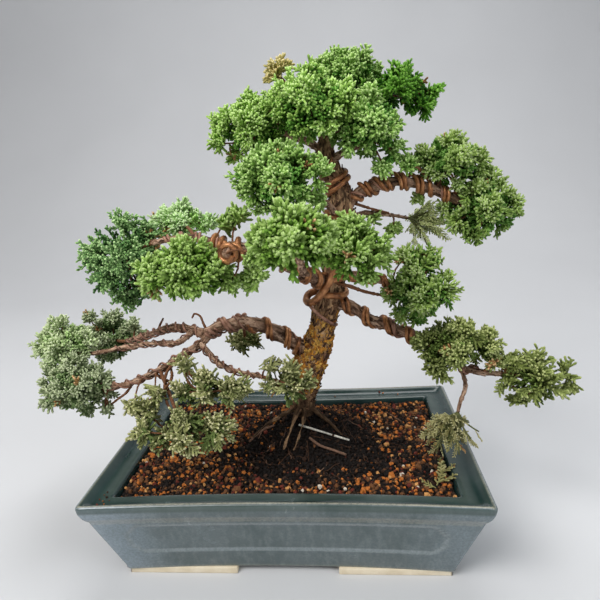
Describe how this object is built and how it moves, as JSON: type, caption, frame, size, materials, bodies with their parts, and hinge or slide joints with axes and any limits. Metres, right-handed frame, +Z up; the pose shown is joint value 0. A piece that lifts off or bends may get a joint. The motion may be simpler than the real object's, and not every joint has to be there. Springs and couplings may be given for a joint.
{
  "type": "juniper bonsai in a pot",
  "caption": "Small wire-trained juniper tree with a leaning trunk, spreading boughs and separate foliage pads, planted in a low rectangular glazed pot with a heavy lip and angled feet.",
  "frame": {"origin": "middle of the bounding box's underside, on the surface that the pot's feet stand on", "axes": "+X along the pot's long side to the viewer's right, -Y towards the viewer of the pot's front, +Z up"},
  "size_m": [0.3986, 0.2202, 0.3474],
  "materials": {
    "bark": "rough flaking bark",
    "foliage": "matt scale leaves",
    "training_wire": "anodised copper brown, satin",
    "glaze": "glossy blue-green glaze",
    "soil": "damp granular substrate"
  },
  "bodies": {
    "root": {"trunk": "bark", "lower_left_bough": "bark", "lower_left_back_arm": "bark", "lower_left_outer_arm": "bark", "lower_left_front_arm": "bark", "lower_left_inner_arm": "bark", "middle_left_bough": "bark", "middle_left_arm": "bark", "middle_left_stub": "bark", "front_bough": "bark", "centre_bough": "bark", "upper_front_bough": "bark", "lower_right_bough": "bark", "lower_right_arm": "bark", "lower_right_hanging_twig": "bark", "middle_right_bough": "bark", "middle_back_bough": "bark", "upper_right_bough": "bark", "upper_right_twig": "bark", "crown_left_bough": "bark", "crown_right_bough": "bark", "crown_front_bough": "bark", "crown_left": "foliage", "crown_front": "foliage", "crown_top": "foliage", "crown_right": "foliage", "crown_right_front": "foliage", "crown_back": "foliage", "upper_front": "foliage", "upper_right": "foliage", "upper_right_tip": "foliage", "upper_right_fan": "foliage", "front_mass": "foliage", "centre": "foliage", "middle_left_tip": "foliage", "middle_left_back": "foliage", "middle_left_front": "foliage", "middle_right": "foliage", "middle_back": "foliage", "lower_right": "foliage", "lower_right_tip": "foliage", "lower_right_hanging": "foliage", "lower_left_tip": "foliage", "lower_left_back": "foliage", "lower_left_front": "foliage", "inner_left_upper": "foliage", "inner_left_lower": "foliage", "inner_front_tuft": "foliage", "inner_back_tuft": "foliage", "trunk_wire_upper": "training_wire", "trunk_wire_upper_pair": "training_wire", "trunk_wire_middle": "training_wire", "lower_left_wire": "training_wire", "middle_left_wire": "training_wire", "stub_wire": "training_wire", "lower_right_wire": "training_wire", "upper_right_wire": "training_wire", "pot": "glaze", "soil": "soil"}
  },
  "joints": []
}
